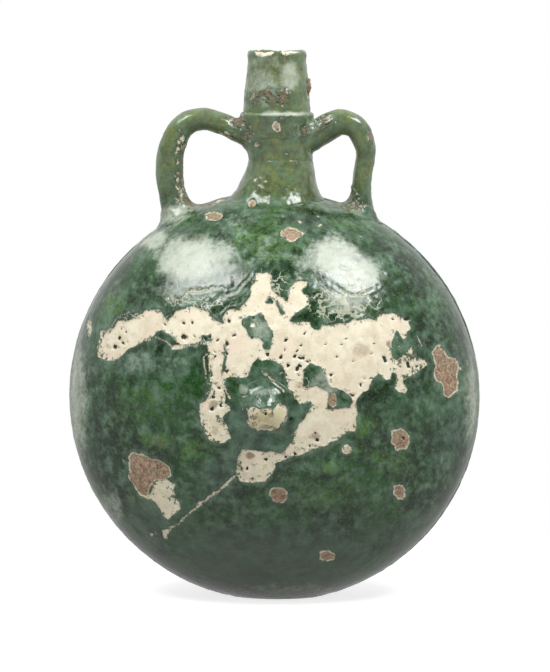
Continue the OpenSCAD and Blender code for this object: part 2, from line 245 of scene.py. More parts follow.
# Grey-teal where the glaze has weathered dull: the same.
WEATHERED = [
    (190, 298, 60, 22, 0.8), (215, 350, 70, 46, 0.8), (150, 366, 70, 26, 0.9),
    (250, 425, 50, 60, 0.95), (100, 355, 36, 34, 0.7), (262, 385, 34, 34, 0.9),
    (300, 415, 20, 26, 0.9), (225, 470, 50, 44, 0.85), (345, 302, 50, 26, 0.8),
    (325, 386, 32, 30, 1.1), (262, 328, 24, 28, 1.1), (450, 430, 46, 90, 0.75),
    (270, 560, 190, 70, 0.95), (160, 520, 70, 60, 0.8), (400, 410, 40, 50, 0.45),
    (90, 420, 30, 100, 0.6), (250, 270, 36, 34, 0.5), (420, 540, 90, 60, 0.8),
    (256, 75, 18, 50, 0.6), (250, 170, 18, 34, 0.6), (200, 205, 40, 20, 0.6),
    (345, 210, 34, 18, 0.6), (240, 105, 14, 16, 0.6), (275, 320, 30, 34, 0.7),
    (395, 345, 40, 34, 0.5), (350, 235, 60, 18, 0.3),
]
# Pale bloom on the glaze, and painted light with it: painted highlights of the soft boxes high
# on the face, painted reflections along the body's edges and bottom, and painted highlights on
# the neck, cordon, neck root and button: the same.
BLOOM_AND_PAINTED_SHEEN = [
    (188, 258, 58, 38, 0.85), (222, 250, 26, 20, 0.6), (170, 292, 34, 16, 0.5),
    (334, 256, 44, 36, 0.85), (360, 276, 36, 28, 0.8), (300, 262, 24, 20, 0.5),
    (345, 302, 40, 20, 0.6), (89, 327, 7, 18, 0.5), (190, 344, 30, 10, 0.5),
    (243, 389, 8, 9, 0.55), (265, 392, 22, 8, 0.55), (325, 386, 26, 28, 0.6),
    (262, 328, 18, 22, 0.6), (150, 362, 60, 20, 0.4), (430, 380, 22, 34, 0.2),
    (290, 592, 130, 16, 0.5), (69, 400, 30, 150, 0.75), (482, 400, 30, 130, 0.75),
    (112, 512, 22, 40, 0.6), (289, 76, 18, 26, 0.8), (262, 85, 30, 40, 0.55),
    (272, 62, 40, 12, 0.5), (285, 114, 40, 6, 0.8), (190, 205, 24, 16, 0.6),
    (350, 208, 26, 12, 0.5), (247, 138, 12, 12, 0.5), (300, 132, 14, 14, 0.4),
    (255, 186, 10, 8, 0.35), (292, 190, 16, 6, 0.3), (168, 214, 40, 18, 0.7),
    (315, 125, 16, 16, 0.5), (150, 238, 28, 20, 0.9), (262, 245, 46, 40, 0.4),
    (230, 220, 60, 16, 0.35), (440, 490, 40, 60, 0.25),
]
# Yellow-green where the glaze lies thin and bright: the same.
BRIGHT_GLAZE = [
    (365, 425, 22, 24, 0.9), (158, 440, 30, 14, 0.8), (345, 225, 40, 12, 0.5),
    (140, 400, 50, 46, 0.5), (115, 305, 26, 22, 0.7), (355, 452, 8, 7, 0.9),
    (330, 468, 12, 10, 1.7), (290, 172, 20, 26, 0.3), (265, 466, 3, 4, 1.0),
    (260, 472, 3, 2, 1.0), (165, 165, 12, 60, 0.3), (370, 165, 10, 50, 0.4),
    (325, 490, 50, 26, 0.6), (390, 460, 36, 30, 0.6), (400, 510, 30, 24, 0.4),
    (200, 450, 34, 20, 0.8), (285, 100, 26, 40, 0.3), (205, 118, 44, 14, 0.5),
    (350, 115, 30, 16, 0.7), (430, 300, 36, 30, 0.3), (282, 446, 10, 6, 0.8),
    (270, 238, 60, 34, 0.9), (268, 418, 24, 16, 1.0), (190, 204, 14, 10, 0.7),
    (256, 425, 10, 9, 0.8), (280, 412, 9, 8, 0.8),
]
# Dark pits in the bare slip, where bubbles burst in the firing: middle and radius.
PITS = [
    (294.4, 356.7, 1.8), (299.5, 358.5, 1.6), (303, 358, 1.8), (306.7, 362, 1.4),
    (288.3, 365.5, 2.0), (299.5, 366.5, 1.5), (297, 369, 2.1), (279.4, 356.7, 1.4),
    (285.5, 341, 1.2), (284, 349.4, 1.2), (298, 351, 1.3), (302, 344.4, 1.3),
    (305, 331.7, 1.2), (330.5, 374.4, 1.6), (253.3, 336, 1.2), (233.3, 335, 1.7),
    (227, 343.5, 2.2), (226, 354, 1.5), (227.5, 370, 2.0), (238, 318, 1.1), (266, 354, 1.8),
    (113.3, 346.5, 2.3), (119, 337, 2.2), (182.2, 335.5, 3.0), (192.8, 321.7, 1.5),
    (183.3, 322.8, 1.3), (164.4, 324, 1.2), (227.8, 320.5, 1.8), (194.4, 336.7, 1.1),
    (119.5, 328, 1.1), (124, 328.5, 1.2), (126.5, 332.5, 1.3), (122, 343, 1.6),
    (127, 342, 1.1), (206.5, 338.5, 1.5), (210.5, 337, 1.3), (218.5, 339.5, 1.6),
    (214.5, 355, 1.3), (215, 350, 1.1), (211, 375, 1.5), (218.5, 388.5, 1.1),
    (393.3, 318.3, 1.4), (406, 320, 1.4), (384.4, 358, 1.4), (385.5, 360.5, 1.5),
    (409, 362.5, 1.5), (409, 366, 1.8), (416.7, 365.5, 1.4), (364, 378, 1.3),
    (360.5, 385, 1.4), (353, 396, 1.6), (211.7, 409, 1.8), (219.4, 406.7, 1.6),
    (213, 397, 1.8), (247, 469, 1.5), (265, 459, 1.9), (266, 413, 1.3), (295, 454, 1.4),
    (314.5, 433, 1.3), (316, 440.5, 1.6), (311, 447, 1.3), (287, 457, 1.2), (403, 439, 1.6),
    (291, 420, 1.6), (254, 318.5, 1.0), (371, 355, 1.0), (346, 339, 0.9), (341, 345, 0.9),
    (243, 326, 0.9), (375, 343, 1.0), (338, 356, 0.9), (326, 345, 0.9), (352, 362, 0.9),
]
# Lumps under the glaze: middle, half width, half height and rise in mm.
BLISTERS = [
    (330.5, 467.8, 12, 10, 1.5), (355.5, 452, 4, 4, 0.5), (347, 450, 6, 7, 0.5),
    (400, 440.5, 13, 14, 0.4), (278, 495, 13, 11, 0.35), (399.5, 493, 10, 11, 0.35),
    (277.5, 127, 7, 7, 0.5), (292, 234, 14, 8, 0.5),
]

# The back isn't in the photograph. Its wear and painted sheen are of the same kind, given in
# millimetres across and up from the middle of the body.
BACK_PATCHES = [
    [(-62, 22), (-48, 34), (-30, 30), (-22, 38), (-10, 33), (-4, 24), (8, 26), (14, 18),
     (6, 10), (-8, 12), (-16, 4), (-30, 8), (-40, 16), (-54, 14)],
    [(30, -12), (44, -8), (52, -18), (48, -32), (38, -38), (30, -30), (24, -22)],
]
BACK_ISLANDS = [[(-38, 20), (-30, 25), (-26, 19), (-32, 15)], [(36, -18), (42, -20), (40, -26)]]
BACK_SPOTS = [
    (-55, -30, 6, 7, 0.7), (-22, -52, 5, 4, 0.7), (12, -66, 4, 3, 0.8), (66, 12, 6, 9, 0.7),
    (58, 40, 4, 3, 0.6), (20, 62, 6, 3, 0.7), (-40, 68, 4, 3, 0.7), (-74, -8, 4, 7, 0.6),
    (5, 48, 3, 2, 0.6), (-8, -28, 3, 3, 0.5),
]
BACK_LINES = [
    ([(30, -30), (22, -38), (16, -46), (6, -52), (0, -62)], 0.5),
    ([(14, 18), (24, 20), (34, 16), (44, 20)], 0.45),
    ([(-62, 22), (-70, 18), (-74, 8)], 0.4),
]
BACK_SCABS = [
    (-26, 20, 40, 20, 0.5), (40, -24, 16, 18, 0.5), (0, 0, 16, 16, 0.6),
    (-46, 105, 12, 10, 0.7), (50, 105, 12, 10, 0.7), (0, 140, 14, 12, 0.6),
    (-50, 125, 8, 20, 0.5),
]
BACK_CRAWLING = [(10, 40, 26, 14, 0.9), (-50, 4, 22, 16, 0.7), (30, -40, 22, 14, 0.6)]
BACK_WEATHERED = [
    (-20, 24, 56, 30, 0.8), (40, -24, 34, 34, 0.8), (0, -80, 90, 34, 0.95),
    (-70, -20, 26, 60, 0.6), (0, 0, 24, 24, 0.8), (70, 40, 30, 30, 0.5),
]
# Pale bloom on the back, with painted highlights high up and painted reflections along its
# edges and bottom
BACK_BLOOM_AND_PAINTED_SHEEN = [
    (-34, 62, 34, 18, 0.6), (40, 60, 26, 16, 0.5), (10, 40, 24, 12, 0.5),
    (0, -96, 60, 10, 0.5), (-88, 0, 10, 50, 0.4), (88, 0, 10, 50, 0.4),
]

# The ovals of each kind of wear, and of bloom with painted sheen, for the front and for the
# back
FRONT_AREAS = {
    "crawl": CRAWLING, "scab": SCABS, "weathered": WEATHERED, "bloom": BLOOM_AND_PAINTED_SHEEN,
    "bright": BRIGHT_GLAZE,
}
BACK_AREAS = {
    "crawl": BACK_CRAWLING, "scab": BACK_SCABS, "weathered": BACK_WEATHERED,
    "bloom": BACK_BLOOM_AND_PAINTED_SHEEN,
}
# What the weathering writes on a mesh, its wear and its painted sheen, and the glaze reads from
# it
MARKS = ("bare", "clay", "weathered", "bloom", "bright", "crawl", "scab", "pit")


# Shapes of the body

def oval(angle, inset=0.0):
    """A point of the body's outline: its distance from the flask's axis and from the seam."""
    if angle < BLEND:
        reach = EDGE_R - inset
        return EDGE_X + reach * math.cos(angle), reach * math.sin(angle)
    reach = FACE_R - inset
    return reach * math.cos(angle), FACE_Y + reach * math.sin(angle)


def oval_line(start_y, end_r, inset, spacing):
    """Points along the oval from start_y beside the seam in to end_r from the axis."""
    first = math.asin(start_y / (EDGE_R - inset))
    last = math.acos(end_r / (FACE_R - inset))
    edge_steps = max(2, round((EDGE_R - inset) * (BLEND - first) / spacing))
    face_steps = max(2, round((FACE_R - inset) * (last - BLEND) / spacing))
    angles = [first + (BLEND - first) * i / edge_steps for i in range(edge_steps)]
    angles += [BLEND + (last - BLEND) * i / face_steps for i in range(face_steps + 1)]
    return [oval(angle, inset) for angle in angles]


def body_top(x, y):
    """Height of the shoulder's surface over a point near the seam."""
    reach = EDGE_X + math.sqrt(max(EDGE_R ** 2 - y * y, 0.0))
    return BODY_Z + math.sqrt(max(reach ** 2 - x * x, 0.0))


# Making meshes

def turned(profile, centre, axis, radial, steps):
    """A closed skin from a closed profile of (radius, height along the axis), spun round."""
    bm = bmesh.new()
    verts = [bm.verts.new(centre + radial * r + axis * h) for r, h in profile]
    edges = [bm.edges.new(pair) for pair in zip(verts, verts[1:] + verts[:1])]
    bmesh.ops.spin(
        bm, geom=verts + edges, cent=centre, axis=axis, angle=math.tau,
        steps=steps, use_merge=True,
    )
    bmesh.ops.remove_doubles(bm, verts=bm.verts, dist=0.001)
    bmesh.ops.recalc_face_normals(bm, faces=bm.faces)
    return bm


def turned_on_neck(profile, steps, x=NECK_X):
    """A skin turned about an upright axis, its profile in (radius, height)."""
    return turned(profile, Vector((x, 0, 0)), Vector((0, 0, 1)), Vector((1, 0, 0)), steps)


def turned_on_body(profile, side, steps):
    """A skin turned about the body's axis, out to the front where side is 1."""
    return turned(
        profile, Vector((0, 0, BODY_Z)), Vector((0, -side, 0)), Vector((1, 0, 0)), steps,
    )


def station_frame(centre, along, half_t, half_w):
    """The matrix that puts a unit ring on a handle's line, which lies in the seam's plane."""
    across = Vector((0.0, 1.0, 0.0))
    flat = across.cross(along)
    columns = [across * half_w, flat * half_t, along, centre]
    rows = [[column[row] for column in columns] for row in range(3)]
    return Matrix(rows + [[0.0, 0.0, 0.0, 1.0]])


def swept(frames, sides):
    """A coil of clay: a ring extruded from each station of a line to the next."""
    bm = bmesh.new()
    bmesh.ops.create_circle(bm, radius=1.0, segments=sides)
    bmesh.ops.transform(bm, matrix=frames[0], verts=bm.verts)
    ring = bm.edges[:]
    for before, after in zip(frames, frames[1:]):
        made = bmesh.ops.extrude_edge_only(bm, edges=ring)["geom"]
        fresh = [item for item in made if isinstance(item, bmesh.types.BMVert)]
        ring = [
            item for item in made
            if isinstance(item, bmesh.types.BMEdge) and all(v in fresh for v in item.verts)
        ]
        bmesh.ops.transform(bm, matrix=after @ before.inverted(), verts=fresh)
    bmesh.ops.holes_fill(bm, edges=bm.edges, sides=sides)
    bmesh.ops.recalc_face_normals(bm, faces=bm.faces)
    return bm


def make_piece(name, bm):
    """A new object in metres, at the origin, from a mesh in millimetres."""
    bmesh.ops.scale(bm, vec=(MM, MM, MM), verts=bm.verts)
    mesh = bpy.data.meshes.new(name)
    bm.to_mesh(mesh)
    bm.free()
    piece = bpy.data.objects.new(name, mesh)
    bpy.context.scene.collection.objects.link(piece)
    return piece


def cut_away(piece, cutter_bm):
    """Takes a cutter's shape out of a piece for good."""
    cutter = make_piece("cutter", cutter_bm)
    modifier = piece.modifiers.new("cut", "BOOLEAN")
    modifier.operation = "DIFFERENCE"
    modifier.solver = "MANIFOLD"
    modifier.object = cutter
    cut = bpy.data.meshes.new_from_object(
        piece.evaluated_get(bpy.context.evaluated_depsgraph_get())
    )
    piece.modifiers.clear()
    old_mesh = piece.data
    piece.data = cut
    cut.name = piece.name
    bpy.data.meshes.remove(old_mesh)
    bpy.data.objects.remove(cutter)


def neck_hole():
    """The round hole that the neck's tenon passes through."""
    bm = bmesh.new()
    bmesh.ops.create_cone(
        bm, cap_ends=True, segments=96, radius1=TENON_R, radius2=TENON_R, depth=120.0,
        matrix=Matrix.Translation((NECK_X, 0, BODY_Z + 110.0)),
    )
    return bm


# Marks of wear, worked out at the points of each mesh

# Vector noise takes its offsets from this seed, so that every run wanders alike.
noise.seed_set(4)


def soft(value, low, high):
    """0 below low, 1 above high, and a smooth step between."""
    t = np.clip((value - low) / (high - low), 0.0, 1.0)
    return t * t * (3.0 - 2.0 * t)


def wander(points, size, shift):
    """A smooth random offset at each point, with features of the given size in mm."""
    offset = Vector((shift, 2.0 * shift, -shift))
    return np.array([noise.noise_vector(Vector(p) / size + offset) for p in points.tolist()])


def mottle(points, size, shift, octaves=4):
    """Smooth random patches at each point, from about -1 to 1."""
    offset = Vector((-shift, shift, 3.0 * shift))
    return np.array([
        noise.fractal(Vector(p) / size + offset, 0.9, 2.0, octaves) for p in points.tolist()
    ])


def photo_xy(points):
    """Where points in mm show in the photograph's frame, in pixels."""
    right = np.array((COS_TURN, SIN_TURN, 0.0))
    up = np.array((-SIN_RISE * SIN_TURN, SIN_RISE * COS_TURN, COS_RISE))
    rel = points - np.array(CAMERA_AIM)
    scale = PHOTO_SCALE / (CAMERA_DISTANCE - rel @ np.array(CAMERA_BACK))
    return PHOTO_WIDTH / 2 + scale * (rel @ right), PHOTO_HEIGHT / 2 - scale * (rel @ up)


def segment_distance(x, y, start, end):
    """How far each point lies from a straight line between two points."""
    dx, dy = end[0] - start[0], end[1] - start[1]
    along = ((x - start[0]) * dx + (y - start[1]) * dy) / (dx * dx + dy * dy)
    along = np.clip(along, 0.0, 1.0)
    return np.hypot(x - start[0] - along * dx, y - start[1] - along * dy)


def inside_depth(x, y, outline):
    """How deep each point lies inside a closed outline, negative outside it."""
    nearest = np.full(len(x), 1e9)
    inside = np.zeros(len(x), bool)
    for start, end in zip(outline, outline[1:] + outline[:1]):
        nearest = np.minimum(nearest, segment_distance(x, y, start, end))
        if start[1] != end[1]:
            crossing = (end[0] - start[0]) * (y - start[1]) / (end[1] - start[1]) + start[0]
            inside ^= ((start[1] > y) != (end[1] > y)) & (x < crossing)
    return np.where(inside, nearest, -nearest)


def line_depth(x, y, line, half_width):
    """How deep each point lies inside a bent line's width, negative outside it."""
    nearest = np.full(len(x), 1e9)
    for start, end in zip(line, line[1:]):
        nearest = np.minimum(nearest, segment_distance(x, y, start, end))
    return half_width - nearest


def spot_depth(x, y, cx, cy, half_w, half_h):
    """How deep each point lies inside an upright oval, negative outside it."""
    reach = np.hypot((x - cx) / half_w, (y - cy) / half_h)
    return (1.0 - reach) * min(half_w, half_h)


def spot_fade(x, y, cx, cy, half_w, half_h):
    """1 at the middle of an oval, fading smoothly to 0 at its edge."""
    return 1.0 - soft(np.hypot((x - cx) / half_w, (y - cy) / half_h), 0.25, 1.0)


def strongest(x, y, spots):
    """The strongest fade of any of the ovals over each point."""
    most = np.zeros(len(x))
    for *place, strength in spots:
        most = np.maximum(most, strength * spot_fade(x, y, *place))
    return most


def bare_marks(x, y, patches, islands, lines, spots):
    """Depth inside the bare areas, and how brown they are, from one side's outlines."""
    depth = np.full(len(x), -1e9)
    for outline in patches:
        depth = np.maximum(depth, inside_depth(x, y, outline))
    for outline in islands:
        depth = np.minimum(depth, -inside_depth(x, y, outline))
    for line, half_width in lines:
        depth = np.maximum(depth, line_depth(x, y, line, half_width))
    brown = np.zeros(len(x))
    for cx, cy, half_w, half_h, share in spots:
        inner = spot_depth(x, y, cx, cy, half_w, half_h)
        depth = np.maximum(depth, inner)
        brown = np.maximum(brown, share * soft(inner, -1.0, 2.0))
    return depth, brown


def broken_glaze(points, scabs):
    """Depth in mm of small bare specks, from how strongly the glaze has broken up."""
    return 2.1 * mottle(points, 3.4, 41.0, 4) + 2.0 * np.minimum(scabs, 1.35) - 2.0


def area_marks(points, x, y, areas, depth):
    """The marks that areas give, and the bare ones, depth mm inside their outlines."""
    marks = {name: strongest(x, y, spots) for name, spots in areas.items()}
    marks["bare"] = np.maximum(depth, broken_glaze(points, marks["scab"]))
    marks["scab"] = np.minimum(marks["scab"], 1.0)
    return marks


def front_marks(points):
    """Marks on what the photograph shows."""
    x, y = photo_xy(points)
    patches = [CREAM_PATCH] + CLAY_PATCHES + SLIP_PATCHES
    depth, brown = bare_marks(x, y, patches, GREEN_ISLANDS, BARE_LINES, BARE_SPOTS)
    for outline in CLAY_PATCHES:
        brown = np.maximum(brown, 0.9 * soft(inside_depth(x, y, outline), -1.0, 3.0))
    marks = area_marks(points, x, y, FRONT_AREAS, depth / PIXELS_PER_MM)
    marks["clay"] = np.maximum(brown, strongest(x, y, STAINS))
    marks["rise"] = strongest(x, y, BLISTERS)
    marks["pit"] = np.zeros(len(x))
    for px, py, radius in PITS:
        pit = soft(radius + 0.7 - np.hypot(x - px, y - py), 0.0, 1.2)
        marks["pit"] = np.maximum(marks["pit"], pit)
    return marks


def back_marks(points):
    """Marks on the side that the photograph doesn't show, seen from behind."""
    x, y = -points[:, 0], points[:, 2] - BODY_Z
    depth, brown = bare_marks(x, y, BACK_PATCHES, BACK_ISLANDS, BACK_LINES, BACK_SPOTS)
    marks = area_marks(points, x, y, BACK_AREAS, depth)
    marks["clay"] = brown
    marks["rise"] = np.zeros(len(x))
    marks["pit"] = soft(mottle(points, 2.6, 31.0, 2), 0.42, 0.55) * (depth > 0.5)
    face = soft(points[:, 1], 5.0, 45.0)
    marks["bright"] = 0.6 * soft(mottle(points, 40.0, 5.0), -0.1, 0.5) * face
    return marks


def worn_marks(points, wear, clay, sides):
    """All the marks at each point: those of its side, and general rubbing."""
    moved = points + 1.1 * wander(points, 7.0, 3.0) + 0.6 * wander(points, 2.4, 9.0)
    front = front_marks(moved) if sides[0] else None
    back = back_marks(moved) if sides[1] else front
    front = front or back
    is_front = points[:, 1] < 0 if all(sides) else np.full(len(points), sides[0])
    marks = {name: np.where(is_front, front[name], back[name]) for name in front}
    worn = 2.6 * mottle(points, 9.0, 13.0, 5) + wear
    rubbed = clay * soft(worn, -3.2, 0.0) * (worn > marks["bare"])
    marks["clay"] = np.maximum(marks["clay"], rubbed)
    marks["bare"] = np.maximum(marks["bare"], worn)
    if not all(sides):
        marks["bloom"] = marks["bloom"] * soft(np.abs(points[:, 1]), 0.0, 16.0)
    halo = soft(marks["bare"], -5.0, -0.3) * 0.8
    marks["weathered"] = np.maximum(marks["weathered"], halo)
    return marks


def read_vectors(items, name):
    """One row of three numbers for each of a mesh's items."""
    flat = np.empty(len(items) * 3)
    items.foreach_get(name, flat)
    return flat.reshape(-1, 3)


def move_points(mesh, points):
    mesh.vertices.foreach_set("co", (points * MM).ravel())
    mesh.update()


def weather_and_paint_sheen(piece, wear=-9.0, clay=0.7, lump=0.0, lump_size=10.0, sides=(True, True)):
    """Gives a piece its wear, as relief in its mesh and as attributes for its material, and its
    painted sheen as one more attribute.

    wear is how far general rubbing reaches, in mm, and clay how brown it is where it
    does. lump is the height of the potter's unevenness. sides says whether the piece
    has a front and a back.
    """
    mesh = piece.data
    points = read_vectors(mesh.vertices, "co") / MM
    normals = read_vectors(mesh.vertex_normals, "vector")
    marks = worn_marks(points, wear, clay, sides)
    bare = marks["bare"]
    lift = marks["rise"] - GLAZE_THICKNESS * soft(bare, -0.45, 0.45) - PIT_DEPTH * marks["pit"]
    lift += CURLED_EDGE * (soft(bare, -1.6, -0.4) - soft(bare, -0.4, 0.1))
    if lump:
        lift += lump * mottle(points, lump_size, 21.0, 3)
    points += normals * lift[:, None]
    points[:, 2] = np.maximum(points[:, 2], 0.0)
    # The attribute is 0.5 where glaze ends and rises by 0.1 for each mm into the bare.
    marks["bare"] = np.clip(0.5 + bare / 10.0, 0.0, 1.0)
    for name in MARKS:
        layer = mesh.attributes.new(name, "FLOAT", "POINT")
        layer.data.foreach_set("value", marks[name].astype(np.float32))
    move_points(mesh, points)


# Materials

def linear(hex_colour):
    """An sRGB hex colour as the linear values that a socket takes."""
    parts = [int(hex_colour[i:i + 2], 16) / 255 for i in (1, 3, 5)]
    levels = [c / 12.92 if c <= 0.04045 else ((c + 0.055) / 1.055) ** 2.4 for c in parts]
    return (*levels, 1.0)


def add(tree, kind, links=None, **settings):
    """A new node with its settings, and its sockets linked or set."""
    node = tree.nodes.new(kind)
    for name, value in settings.items():
        setattr(node, name, value)
    for socket, value in (links or {}).items():
        target = node.inputs[socket]
        if isinstance(value, bpy.types.NodeSocket):
            tree.links.new(value, target)
        else:
            target.default_value = value
    return node


def new_material(name):
    material = bpy.data.materials.new(name)
    material.use_nodes = True
    tree = material.node_tree
    tree.nodes.clear()
    return material, tree


def grain(tree, place, size_mm, detail=3.0, rough=0.55):
    """Noise with features of a real size, read at the piece's own place."""
    return add(tree, "ShaderNodeTexNoise", {
        "Vector": place, "Scale": 1.0 / (size_mm * MM), "Detail": detail, "Roughness": rough,
    }).outputs["Fac"]


def stepped(tree, value, low, high, out_low=0.0, out_high=1.0):
    """A smooth step from out_low to out_high as the value goes from low to high."""
    return add(tree, "ShaderNodeMapRange", {
        "Value": value, "From Min": low, "From Max": high,
        "To Min": out_low, "To Max": out_high,
    }, interpolation_type="SMOOTHSTEP").outputs["Result"]


def figure(tree, operation, a, b=0.0, c=0.0):
    return add(tree, "ShaderNodeMath", {0: a, 1: b, 2: c}, operation=operation).outputs[0]


def weighed(tree, at, **weights):
    """The sum of values, each named in at, times their weights."""
    total = 0.0
    for name, weight in weights.items():
        total = figure(tree, "MULTIPLY_ADD", at[name], weight, total)
    return total


def blended(tree, share, under, over):
    """One colour laid over another. A colour is a hex value or a socket."""
    under = linear(under) if isinstance(under, str) else under
    over = linear(over) if isinstance(over, str) else over
    return add(
        tree, "ShaderNodeMix", {0: share, 6: under, 7: over}, data_type="RGBA",
    ).outputs[2]


def laid(tree, under, value, low, high, over, most=1.0):
    """A colour laid over another, up to most of it, as a value goes from low to high."""
    return blended(tree, stepped(tree, value, low, high, 0.0, most), under, over)


def mixed(tree, share, under, over):
    return add(tree, "ShaderNodeMix", {0: share, 2: under, 3: over}).outputs[0]


def attribute(tree, name):
    return add(tree, "ShaderNodeAttribute", attribute_name=name).outputs["Fac"]


def surfaced(tree, colour, roughness, height, **others):
    """The shader of a piece, its relief given in mm."""
    bump = add(tree, "ShaderNodeBump", {"Strength": 1.0, "Distance": MM, "Height": height})
    shader = add(tree, "ShaderNodeBsdfPrincipled", {
        "Base Color": colour, "Roughness": roughness, "Normal": bump.outputs[0], **others,
    })
    add(tree, "ShaderNodeOutputMaterial", {"Surface": shader.outputs[0]})


# Noise in the glaze, from coarse to fine: size in mm, detail and roughness
GRAINS = {
    "cloud": (30.0, 5.0, 0.6), "drift": (14.0, 6.0, 0.7), "patch": (7.0, 6.0, 0.7),
    "fleck": (2.2, 5.0, 0.7), "speck": (0.9, 3.0, 0.7),
}


def glaze_green(tree, at):
    """The glaze itself: darker where it ran thick, and yellow-green where it lies thin."""
    thick = weighed(tree, at, cloud=0.5, patch=0.35, fleck=0.15)
    green = laid(tree, "#0f240f", thick, 0.40, 0.62, "#255322")
    thin = weighed(tree, at, fleck=0.45, drift=0.45, bright=0.18)
    green = laid(tree, green, thin, 0.46, 0.80, "#5f8c3c")
    green = laid(tree, green, at["speck"], 0.54, 0.72, "#0c2412", 0.7)
    green = laid(tree, green, at["speck"], 0.46, 0.30, "#7b9a5c", 0.35)
    # Paler higher up, from 0.17 m to 0.215 m above the floor.
    pale = weighed(tree, at, fleck=0.40, speck=0.30, drift=0.20, upper=0.48)
    green = laid(tree, green, pale, 0.64, 1.15, "#8a9464")
    rust = weighed(tree, at, clay=0.55, fleck=0.35, speck=0.2)
    return laid(tree, green, rust, 0.45, 0.80, "#846b4f", 0.8)


def weathered_and_sheen_over(tree, at, green):
    """Dull grey-green, first round the flaked patch, and then a pale, cloudy layer that is
    partly bloom and partly painted highlight and reflection.
    """
    dull = weighed(tree, at, weathered=0.50, drift=0.60, fleck=0.15)
    at["dull"] = stepped(tree, dull, 0.56, 0.84, 0.0, 0.85)
    grey = laid(tree, "#384e3e", at["patch"], 0.35, 0.65, "#627f69")
    # The grey darkens towards the bottom, from 80 mm above the floor down.
    grey = blended(tree, stepped(tree, at["height"], 0.01, 0.08, 0.8, 0.0), grey, "#424d40")
    green = blended(tree, at["dull"], green, grey)
    veil = weighed(tree, at, fleck=0.34, drift=0.40, patch=0.32, bloom=0.70)
    at["veil"] = stepped(tree, veil, 0.72, 1.26, 0.0, 0.92)
    # The pale veil is bloom on the glaze, with painted highlights and painted reflections in
    # it.
    return blended(tree, at["veil"], green, "#c3cbb9")


def crawled_over(tree, at, green):
    """A net of cracks in the glaze, pale along the middle and dark at the sides."""
    wave = figure(tree, "SUBTRACT", grain(tree, at["place"], 5.0, 2.5), 0.5)
    at["worm"] = figure(tree, "ABSOLUTE", wave)
    net = weighed(tree, at, worm=-1.0, crawl=0.10, speck=0.02, fleck=0.02)
    at["crack"] = stepped(tree, net, 0.040, 0.060)
    green = laid(tree, green, net, 0.024, 0.040, "#39462f", 0.6)
    return blended(tree, figure(tree, "MULTIPLY", at["crack"], 0.7), green, "#bfc3aa")


def bare_body(tree, at):
    """Cream slip where the glaze is gone, and pink-brown clay where that is gone too."""
    slip = laid(tree, "#ded2b6", at["patch"], 0.36, 0.64, "#f0ead2")
    slip = laid(tree, slip, at["drift"], 0.48, 0.68, "#e8cfb9", 0.7)
    slip = laid(tree, slip, at["fleck"], 0.56, 0.76, "#c9baa0", 0.5)
    slip = laid(tree, slip, at["bright"], 0.2, 0.9, "#d6d09c", 0.7)
    slip = laid(tree, slip, at["speck"], 0.60, 0.74, "#8b8f74", 0.45)
    earth = laid(tree, "#7a624b", at["fleck"], 0.40, 0.60, "#b8977c")
    earth = laid(tree, earth, at["patch"], 0.50, 0.62, "#85805f", 0.7)
    earth = laid(tree, earth, at["speck"], 0.52, 0.66, "#d3c0a8", 0.7)
    earth = laid(tree, earth, at["speck"], 0.46, 0.34, "#57473a", 0.6)
    earthy = weighed(tree, at, clay=1.0, fleck=0.55, speck=0.5)
    return laid(tree, slip, earthy, 0.80, 1.25, earth)


def worn_colour(tree, at):
    """Glaze that flakes off with a ragged edge, with scabs still stuck inside it."""
    green = crawled_over(tree, at, weathered_and_sheen_over(tree, at, glaze_green(tree, at)))
    edge = weighed(tree, at, bare=1.0, fleck=0.26, speck=0.16, patch=0.10)
    gone = stepped(tree, edge, 0.745, 0.775)
    stuck = weighed(tree, at, fleck=0.7, speck=0.3, bare=-0.30, scab=0.085)
    stuck = figure(tree, "MULTIPLY", stepped(tree, stuck, 0.375, 0.415), gone)
    scabs = laid(tree, "#2d3824", at["speck"], 0.4, 0.6, "#6a7a5c")
    green = blended(tree, stuck, green, scabs)
    at["gone"] = figure(tree, "SUBTRACT", gone, stuck)
    colour = blended(tree, at["gone"], green, bare_body(tree, at))
    return laid(tree, colour, weighed(tree, at, pit=1.0, speck=0.5), 0.6, 0.95, "#262c1c")


def worn_relief(tree, at):
    """The glaze's orange peel, its thickness at a flaked edge, and the clay's grit, in mm."""
    at["peel"] = grain(tree, at["place"], 6.0, 2.0)
    glazed = weighed(tree, at, peel=0.11, speck=0.04, crack=-0.1)
    grit = weighed(tree, at, speck=0.14, fleck=0.2, gone=-0.25)
    at["skin"] = mixed(tree, at["gone"], glazed, grit)
    return weighed(tree, at, skin=1.0, pit=-0.3)


def lead_glaze(name, bare_gloss=0.62):
    """Copper-green lead glaze over cream slip over pink-brown clay, much worn, with painted
    highlights and reflections in its pale bloom.
    """
    material, tree = new_material(name)
    place = add(tree, "ShaderNodeTexCoord").outputs["Object"]
    at = {mark: attribute(tree, mark) for mark in MARKS}
    at.update((kind, grain(tree, place, *settings)) for kind, settings in GRAINS.items())
    at["place"] = place
    at["height"] = add(tree, "ShaderNodeSeparateXYZ", {0: place}).outputs["Z"]
    at["upper"] = stepped(tree, at["height"], 0.17, 0.215)
    colour = worn_colour(tree, at)
    at["gloss"] = stepped(tree, at["patch"], 0.3, 0.7, 0.10, 0.20)
    gloss = weighed(tree, at, gloss=1.0, veil=0.25, dull=0.10)
    roughness = mixed(tree, at["gone"], gloss, bare_gloss)
    surfaced(tree, colour, roughness, worn_relief(tree, at), IOR=1.6)
    return material


